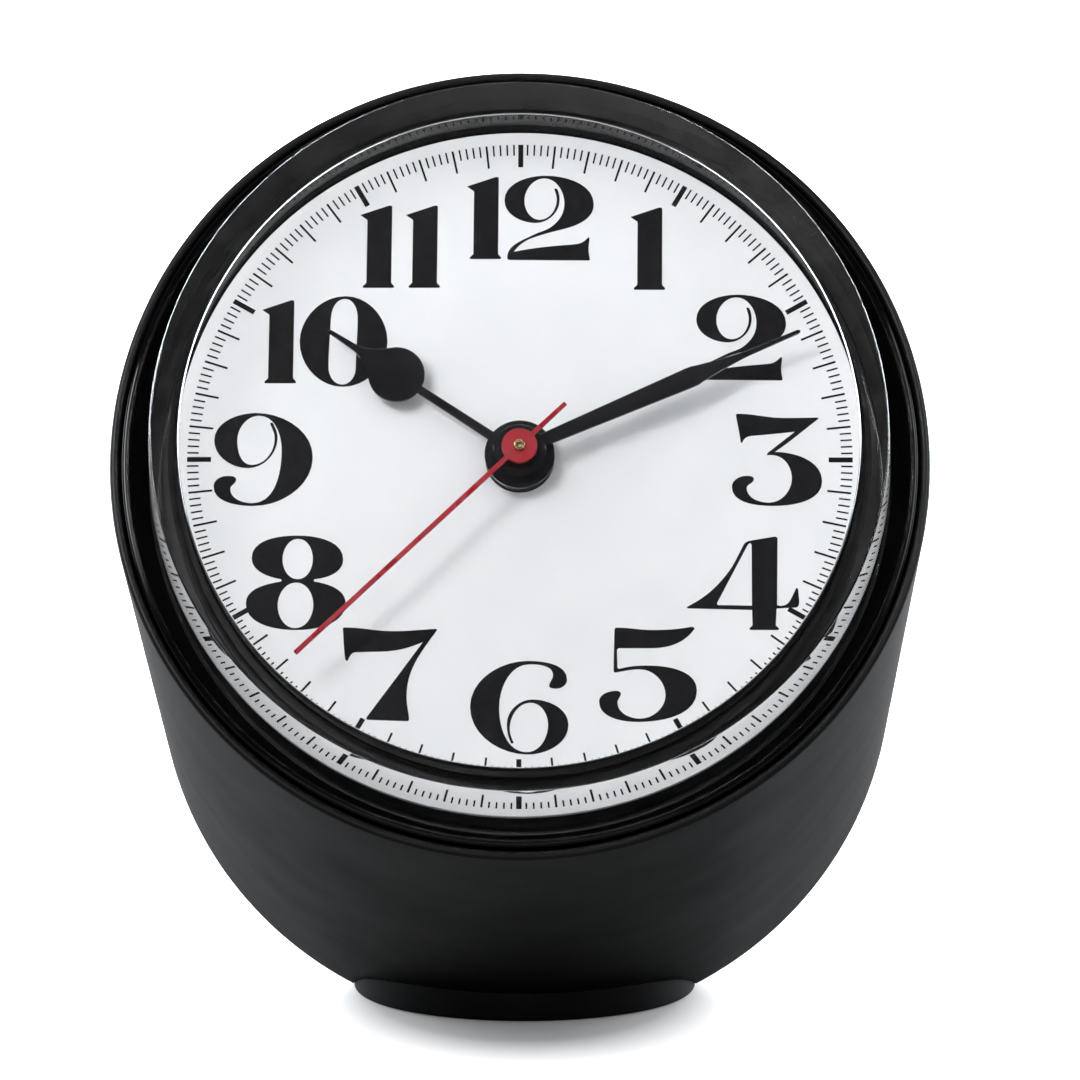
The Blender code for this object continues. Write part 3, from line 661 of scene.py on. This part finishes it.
def make_crystal(looks):
    """Clear cup whose wall thins from the front plate back to the level of the dial."""
    inside = CRYSTAL_FRONT - CRYSTAL_PLATE
    edge = CRYSTAL_FRONT_R - CRYSTAL_EASE
    neck = (CRYSTAL_NECK - CRYSTAL_EASE, inside - CRYSTAL_EASE)
    profile = [
        (0.0, inside),
        *arc(neck, CRYSTAL_EASE, 90, 6, 5),
        (CRYSTAL_BORE, DIAL_TOP),
        (CRYSTAL_BORE, FLANGE_BACK),
        (FLANGE_R, FLANGE_BACK),
        (FLANGE_R, FLANGE_FRONT),
        (CRYSTAL_R, FLANGE_FRONT),
        *crystal_side(24),
        *arc((edge, CRYSTAL_FRONT - CRYSTAL_EASE), CRYSTAL_EASE, 10, 88, 6),
    ]
    for i in range(10, -1, -1):
        out = i / 10
        profile.append((edge * out, CRYSTAL_FRONT + CRYSTAL_CROWN * (1 - out**2)))
    cup = lathe("crystal_cup", profile, looks["acrylic"], CLOCK, "clock_unit")
    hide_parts("crystal")


def make_dial(looks):
    rim = [(DIAL_R, DIAL_BACK), (DIAL_R, DIAL_TOP - 0.08), (DIAL_R - 0.08, DIAL_TOP)]
    profile = [(DIAL_HOLE_R, DIAL_BACK), *rim, (DIAL_HOLE_R, DIAL_TOP)]
    disc = lathe("dial_face", profile, looks["dial"], CLOCK, "clock_unit", ring=True)
    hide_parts("dial")


def make_track(looks):
    """Five marks to the minute, longer at the minutes and thick at the hours."""
    bm = bmesh.new()
    for step in range(300):
        length, width = FIFTH_MARK
        if step % 25 == 0:
            length, width = HOUR_MARK
        elif step % 5 == 0:
            length, width = MINUTE_MARK
        turn = Matrix.Rotation(-math.radians(step * 1.2), 2)
        inner, outer = TRACK_R - length, TRACK_R
        corners = [(-width / 2, inner), (width / 2, inner), (width / 2, outer), (-width / 2, outer)]
        corners = [tuple(turn @ Vector(corner)) for corner in corners]
        prism(bm, [corners], DIAL_TOP + INK_GAP, DIAL_TOP + INK)
    finish("minute_track", bm, looks["ink"], CLOCK, "clock_unit")


# Outlines run clockwise in millimetres about each figure's middle. A knot is (x, y) for a sharp
# corner, (x, y, heading) for a smooth point, or (x, y, arriving, leaving); headings are degrees
# anticlockwise from +X.
STEM = [
    (-1.8, 3.5), (1.2, 4.55), (1.45, 4.55), (1.55, 4.4), (1.5, -4), (1.85, -4.4), (1.75, -4.55),
    (-1.4, -4.55), (-1.5, -4.4), (-1.1, -4), (-1.05, 2.95),
]
FIGURES = {
    "0": [
        [(-4.65, 0, 90), (0.1, 5, 0), (4.55, 0, -90), (-0.1, -4.95, 180)],
        [
            (-1.4, 2.6, 88), (0.05, 4.7, 0), (1.4, 2.6, -90), (1.25, -2.9, -90), (-0.15, -4.7, 180),
            (-1.6, -2.8, 90),
        ],
    ],
    "1": [STEM],
    "2": [
        [
            (-4.7, 1.95, 90), (-0.4, 4.7, 0), (4.7, 1.5, -90), (1.6, -1.2, 195), (-1.6, -2.15, 200),
            (-3.7, -3.75, 235, 12), (2.8, -2.9, 5), (4.1, -2.15, 50), (4.25, -2.3, -90),
            (4.15, -3.4, -90), (4.3, -4.6, -80), (4.15, -4.7), (-4.2, -4.65), (-4.4, -4.4, 90),
            (-1.6, -1.85, 28), (0.2, -1, 37), (1.6, 1.6, 90), (-0.5, 4.4, 180), (-2.6, 1.9, -90),
            (-1, -0.2, 0), (0.8, 2, 90), (0.55, 3.2, 105), (0.85, 3.2, -65), (1.1, 2, -90),
            (-1.4, -0.55, 180),
        ],
    ],
    "3": [
        [
            (-4.2, 4.9), (-4, 5, 0), (0.8, 4.55, 0), (4.4, 4.6), (4.4, 4.45), (-0.15, 0.85, 215, 0),
            (4.75, -2.3, -90), (-0.4, -5, 180), (-4.65, -2.95, 90), (-3.1, -1.75, 0),
            (-2.35, -2.1, -90), (-3.1, -3.1, -90), (-0.8, -4.65, 0), (1.6, -2, 90),
            (-0.3, 0.5, 175), (-1, 0.5), (-0.9, 0.75), (1.95, 3.05), (-2.5, 2.6, 184),
            (-3.5, 1.9, 255), (-3.7, 1.9, 97),
        ],
    ],
    "4": [
        [
            (0.6, 4.55), (3.4, 5.05), (3.65, 4.9), (3.55, -2.35), (4, -2.4, 0), (5.55, -0.5, 60),
            (5.75, -0.7, -90), (5.4, -2.6, 180), (3.5, -2.7), (3.4, -4.5), (3.75, -4.85),
            (3.65, -5), (0.75, -5), (0.65, -4.85), (1, -4.5), (0.95, -2.85), (-5.7, -2.7),
            (-5.8, -2.55, 28), (-1.7, 0.9, 52), (0.15, 4.2, 62),
        ],
        [(0.95, 4.15), (0.8, 4.35), (0.55, 4.15), (-2.65, -2.1, 243), (-2.5, -2.35, 0), (0.95, -2.4)],
    ],
    "5": [
        [
            (-3.5, 4.85), (-3.3, 5, 0), (0.4, 4.75, 0), (4.5, 5.1, 10), (4.75, 4.85, 235),
            (0.2, 2.8, 180), (-3.1, 2.8), (-3.25, 2.6), (-3.2, 0.7), (-3, 0.6, 15), (0, 0.95, 0),
            (5, -1.7, -90), (-1.1, -5.05, 180), (-5.1, -2.9, 90), (-3.3, -1.75, 0),
            (-2.85, -2.1, -100), (-3.2, -3, -90), (-0.9, -4.7, 0), (1.75, -2.2, 90),
            (-0.9, 0.55, 180), (-3.4, 0.2, 190), (-3.6, 0.4, 90),
        ],
    ],
    "6": [
        [
            (-5.05, 0.1, 90), (0.9, 5, 0), (4.95, 3, -90), (3.85, 2.05, 180), (3.1, 2.4, 80),
            (3.5, 3.5, 90), (1.1, 4.65, 180), (-2.05, 0, -90), (0.8, -4.7, 0), (3, -1.8, 90),
            (1.2, 0.55, 180), (-0.95, -2.2, -90), (-0.55, -3.65, -65), (-0.8, -3.75, 115),
            (-1.25, -1.7, 90), (1.4, 0.9, 0), (5.1, -1.8, -90), (0.9, -4.95, 180),
        ],
    ],
    "7": [
        [
            (-4.9, 4.9), (-4.7, 5, 0), (0.3, 4.6, 0), (4.75, 4.85), (4.85, 4.7, 235),
            (1.75, -2.3, -90), (2.05, -4.8), (1.9, -5), (-2.3, -4.85), (-2.4, -4.65),
            (3.4, 3.45, 55, 205), (-1.5, 2.4, 180), (-3.5, 2.35, 180), (-4.35, 1.45, 250),
            (-4.6, 1.6, 100),
        ],
    ],
    "8": [
        [
            (-4.65, 2.7, 90), (0.1, 5.1, 0), (4.85, 2.5, -90), (1.9, 0.4, 185), (1.9, 0.15, -10),
            (5.15, -2.2, -90), (0, -5.05, 180), (-5.2, -2.2, 90), (-1.6, 0.15, 10),
            (-1.6, 0.4, 170),
        ],
        [(-1.45, 2.55, 90), (0.15, 4.75, 0), (1.7, 2.55, -90), (0.15, 0.4, 180)],
        [(-1.9, -2.4, 90), (0, 0.05, 0), (1.8, -2.4, -90), (-0.05, -4.85, 180)],
    ],
    "9": [
        [
            (-5.15, 2.1, 90), (-0.8, 5.05, 0), (5.15, 0.2, -90), (-1, -5.05, 180),
            (-5.15, -2.9, 90), (-3.8, -1.8, 0), (-2.8, -2.2, -90), (-3.4, -3.2, -90),
            (-1.1, -4.75, 0), (1.9, 0.9, 90), (-0.5, 4.75, 180), (-2.75, 2.1, -90), (-1.2, -0.6, 0),
            (1.15, 2.2, 90), (0.65, 3.9, 110), (0.95, 3.95, -65), (1.45, 2.3, -90),
            (-1.6, -0.95, 180),
        ],
    ],
}
HALF_WIDTHS = {"0": 4.6, "1": 1.8, "2": 4.65}
FIGURE_GAPS = {10: 0.4, 11: 1.2, 12: 0.4}
# how far the wide numerals stand off the circle, to the right and up
NUDGES = {10: (2.7, -0.5), 11: (0.7, 0.2), 12: (1.0, -0.2)}


def figures_of(number):
    """Each figure of a numeral with its sideways place, the whole centred."""
    text = str(number)
    if len(text) == 1:
        return [(text, 0.0)]
    width = 2 * sum(HALF_WIDTHS[figure] for figure in text) + FIGURE_GAPS[number]
    first = -width / 2 + HALF_WIDTHS[text[0]]
    second = width / 2 - HALF_WIDTHS[text[1]]
    return [(text[0], first), (text[1], second)]


def make_numerals(looks):
    """Upright figures round the dial; the wide numerals stand a little off the circle."""
    for hour in range(1, 13):
        x, y = polar(NUMERAL_CIRCLE, 90 - hour * 30)
        right, up = NUDGES.get(hour, (0.0, 0.0))
        x += right
        y += up
        bm = bmesh.new()
        for figure, shift in figures_of(hour):
            loops = [drawn(knots) for knots in FIGURES[figure]]
            loops = [[(x + shift + px, y + py) for px, py in loop] for loop in loops]
            prism(bm, loops, DIAL_TOP + INK_GAP, DIAL_TOP + INK)
        finish(f"numeral_{hour}", bm, looks["ink"], CLOCK, "clock_unit")


# ---------------------------------------------------------------- hands


def hour_blade():
    """Slim shaft, round disc and a needle tip."""
    middle, radius, needle = 15.5, 2.95, 20.7
    points = [(3.0, 0.48), (middle - radius + 0.04, 0.42)]
    for turn in range(12, 131, 5):
        angle = math.radians(turn)
        points.append((middle - radius * math.cos(angle), radius * math.sin(angle)))
    start, half = points[-1]
    for i in range(1, 13):
        left = 1 - i / 12
        points.append((needle - (needle - start) * left, 0.34 + (half - 0.34) * left**1.6))
    return points + [(24.1, 0.18)]


def minute_blade():
    """Long leaf that narrows to a needle."""
    widest, needle = 19.7, 25.8
    points = [(2.0, 0.68), (widest - 0.6, 1.06), (widest + 0.2, 1.04)]
    for i in range(1, 11):
        left = 1 - i / 10
        points.append((needle - (needle - widest) * left, 0.27 + 0.76 * left**1.3))
    return points + [(31.6, 0.2), (31.85, 0.08)]


def second_outline():
    """Thin straight blade with a short tail."""
    outline = bladed(1.85, [(1.5, 0.26), (31.7, 0.24), (31.8, 0.18)])
    tail = [(-0.25, -1.83), (-0.22, -6.6), (0.22, -6.6), (0.25, -1.83)]
    middle = min(range(len(outline)), key=lambda i: outline[i][1])
    return outline[:middle] + tail + outline[middle + 1 :]


def hand_place(angle):
    return CLOCK @ Matrix.Rotation(-math.radians(angle), 4, "Z")


def make_hand(name, outline, bore, heights, look, place, body, socket=None):
    """Stamped blade with eased upper edges and, if socket is set, a tube pressed on below."""
    bottom, thickness, ease = heights
    top = bottom + thickness
    low = bottom
    inner = inset(outline, ease)
    bm = bmesh.new()
    if socket:
        low = bottom - HUB_TUBE
        wall(bm, raised(socket, low), raised(socket, bottom))
        cap(bm, [socket, bore], low)
        cap(bm, [outline, socket], bottom)
    else:
        cap(bm, [outline, bore], bottom)
    wall(bm, raised(bore, low), raised(bore, top))
    wall(bm, raised(outline, bottom), raised(outline, top - ease))
    wall(bm, raised(outline, top - ease), raised(inner, top))
    cap(bm, [inner, bore], top)
    return finish(name, bm, look, place, body)


def make_hour_hand(looks):
    hub_r, tube_r, bore_r = 3.65, 3.4, 2.35
    outline = bladed(hub_r, hour_blade())
    heights = (HOUR_HEIGHT, 0.5, 0.12)
    place = hand_place(HOUR_ANGLE)
    bore, socket = circle(bore_r, 48), circle(tube_r, 48)
    hand = make_hand("hour_hand_blade", outline, bore, heights, looks["hand"], place, "hour", socket)
    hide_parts("hour_hand")


def make_minute_hand(looks):
    hub_r, tube_r, bore_r = 2.75, 2.5, 1.27
    outline = bladed(hub_r, minute_blade())
    heights = (MINUTE_HEIGHT, 0.5, 0.12)
    place = hand_place(MINUTE_ANGLE)
    bore, socket = circle(bore_r, 40), circle(tube_r, 40)
    hand = make_hand("minute_hand_blade", outline, bore, heights, looks["hand"], place, "minute", socket)
    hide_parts("minute_hand")


def make_second_hand(looks):
    """Red blade and, in its disc, the brass bush it turns on."""
    heights = (SECOND_HEIGHT, 0.35, 0.05)
    place = hand_place(SECOND_ANGLE)
    hole = circle(0.62, 32)
    hand = make_hand("second_hand_blade", second_outline(), hole, heights, looks["red"], place, "second")
    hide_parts("second_hand")
    foot, top = 1.6, SECOND_HEIGHT + 0.755
    bush_r, bore_r, ease = 0.575, 0.28, 0.075
    lip = arc((bush_r - ease, top - ease), ease, 0, 90, 5)
    profile = [(bore_r, foot), (bush_r, foot), *lip, (bore_r + 0.06, top), (bore_r, top - 0.055)]
    bush = lathe("second_hand_bush", profile, looks["brass"], CLOCK, "second", 64, True)
    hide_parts("second_hand_tube")


# ---------------------------------------------------------------- studio


def look_at(thing, target):
    way = Vector(target) - thing.location
    thing.rotation_euler = way.to_track_quat("-Z", "Y").to_euler()


def softbox(name, place, target, width, height, power, coolness):
    light = bpy.data.lights.new(name, "AREA")
    light.shape = "RECTANGLE"
    light.size = width
    light.size_y = height
    light.energy = power
    light.color = (1.0 / coolness, 1.0 / math.sqrt(coolness), 1.0)
    lamp = bpy.data.objects.new(name, light)
    bpy.context.collection.objects.link(lamp)
    lamp.location = place
    lamp.visible_camera = False
    look_at(lamp, target)


def floor_look():
    """Pale sheet, glowing white away from the clock, with a painted shadow where the glow fades round the
    foot. What the clock mirrors of it is a dimmer copy, painted shade, with a painted glow behind the
    clock.
    """
    look = Look("pale_floor", (0.8, 0.8, 0.8), 0.6, Emission_Color=(1.0, 1.0, 1.0, 1.0))
    look.grain(3.0, 0.01, (0.55, 0.7), None, 60.0)
    nodes, links = look.nodes, look.links
    # painted shadow: the glow fades to a grey oval close round the foot, longer to the front than to the
    # sides, standing in for the clock's contact shadow
    shadow_oval = nodes.new("ShaderNodeMapping")
    shadow_oval.inputs["Scale"].default_value = (1.6, 1.0, 1.0)
    links.new(look.place, shadow_oval.inputs["Vector"])
    away = nodes.new("ShaderNodeVectorMath")
    away.operation = "LENGTH"
    links.new(shadow_oval.outputs["Vector"], away.inputs[0])
    look.link(look.ramp(away.outputs["Value"], 0.1, 1.0, 0.028, 0.046), "Emission Strength")
    # for mirrors and bounced light: a painted glow, dark in front of the clock and growing bright well
    # behind it, that lights the clock's flanks
    split = nodes.new("ShaderNodeSeparateXYZ")
    links.new(look.place, split.inputs[0])
    behind = nodes.new("ShaderNodeEmission")
    links.new(look.ramp(split.outputs["Y"], 0.0, 0.45, 0.2, 0.9), behind.inputs["Strength"])
    # painted shade: a dark copy of the sheet for every ray but the camera's
    shaded_copy = nodes.new("ShaderNodeBsdfDiffuse")
    shaded_copy.inputs["Color"].default_value = (0.15, 0.15, 0.15, 1.0)
    unseen = nodes.new("ShaderNodeAddShader")
    links.new(behind.outputs[0], unseen.inputs[0])
    links.new(shaded_copy.outputs[0], unseen.inputs[1])
    path = nodes.new("ShaderNodeLightPath")
    shader = look.mix(path.outputs["Is Camera Ray"], unseen.outputs[0], look.shader.outputs[0])
    links.new(shader, nodes["Material Output"].inputs["Surface"])
    return look.material


def make_floor():
    """Flat under the clock and curving up behind it, in metres."""
    bm = bmesh.new()
    front, bend_from, bend_r, top, half_width = -3.0, 1.2, 0.8, 4.0, 4.0
    curve = arc((bend_from, bend_r), bend_r, -90, 0, 16)
    profile = [(front, 0.0), *curve, (bend_from + bend_r, top)]
    rows = [[bm.verts.new((x, y, z)) for x in (-half_width, half_width)] for y, z in profile]
    for first, second in zip(rows, rows[1:]):
        bm.faces.new((first[0], first[1], second[1], second[0]))
    mesh = bpy.data.meshes.new("floor")
    bm.to_mesh(mesh)
    bm.free()
    mesh.shade_smooth()
    mesh.materials.append(floor_look())
    floor = bpy.data.objects.new("floor", mesh)
    bpy.context.collection.objects.link(floor)


def make_world():
    """White to the camera and nearly dark to everything else."""
    world = bpy.data.worlds.new("studio")
    bpy.context.scene.world = world
    world.use_nodes = True
    nodes, links = world.node_tree.nodes, world.node_tree.links
    background = nodes["Background"]
    path = nodes.new("ShaderNodeLightPath")
    strength = nodes.new("ShaderNodeMapRange")
    strength.inputs["To Min"].default_value = 0.04
    strength.inputs["To Max"].default_value = 1.0
    links.new(path.outputs["Is Camera Ray"], strength.inputs["Value"])
    links.new(strength.outputs["Result"], background.inputs["Strength"])
    background.inputs["Color"].default_value = (1.0, 1.0, 1.0, 1.0)


def make_lights():
    """Softboxes 1.2 m away: a key from the left, a fill from the right, cool ones at the sides."""
    # name, degrees right of the front and above the table, width and height, watts, blue over red
    boxes = [
        ("key_box", -33.0, 36.0, (0.28, 0.28), 5.5, 1.0),
        ("fill_box", 46.0, 34.0, (0.5, 0.5), 3.8, 1.0),
        ("low_box", -6.0, 4.0, (0.9, 0.12), 0.8, 1.0),
        ("high_box", -20.0, 76.0, (0.7, 0.4), 1.5, 1.0),
        ("left_box", -100.0, 8.0, (0.3, 0.6), 4.0, 1.25),
        ("right_box", 100.0, 8.0, (0.3, 0.6), 3.0, 1.25),
        ("left_back_box", -150.0, 3.0, (1.0, 0.6), 68.0, 1.1),
        ("right_back_box", 150.0, 3.0, (1.0, 0.6), 54.0, 1.1),
    ]
    middle = Vector((0.0, -0.02, 0.06))
    away = 1.2
    for name, right, above, (width, height), power, coolness in boxes:
        right, above = math.radians(right), math.radians(above)
        level = math.cos(above)
        way = Vector((math.sin(right) * level, -math.cos(right) * level, math.sin(above)))
        softbox(name, middle + way * away, middle, width, height, power, coolness)


def make_camera():
    """Long lens a little above the clock, looking almost straight at it."""
    distance = 0.75
    down = math.radians(8.5)
    yaw = math.radians(-0.32)
    right = Vector((math.cos(yaw), -math.sin(yaw), 0.0))
    ahead = Vector((math.sin(yaw) * math.cos(down), math.cos(yaw) * math.cos(down), -math.sin(down)))
    up = right.cross(ahead)
    aside, below = 2.09, 8.32  # from the middle of the rim to the middle of the picture
    aim = CLOCK.translation + (right * aside - up * below) * MM
    data = bpy.data.cameras.new("camera")
    data.lens = 241.7
    data.sensor_width = 36.0
    data.clip_start = 0.05
    data.clip_end = 20.0
    camera = bpy.data.objects.new("camera", data)
    bpy.context.collection.objects.link(camera)
    turn = Matrix((right, up, -ahead)).transposed().to_4x4()
    camera.matrix_world = Matrix.Translation(aim - ahead * distance) @ turn
    bpy.context.scene.camera = camera


looks = make_looks()
dress_nodes(looks)
make_case(looks)
make_foot(looks)
make_bezel(looks)
make_crystal(looks)
make_dial(looks)
make_track(looks)
make_numerals(looks)
make_hour_hand(looks)
make_minute_hand(looks)
make_second_hand(looks)
make_floor()
make_world()
make_lights()
make_camera()
bpy.context.scene.view_settings.view_transform = "Standard"
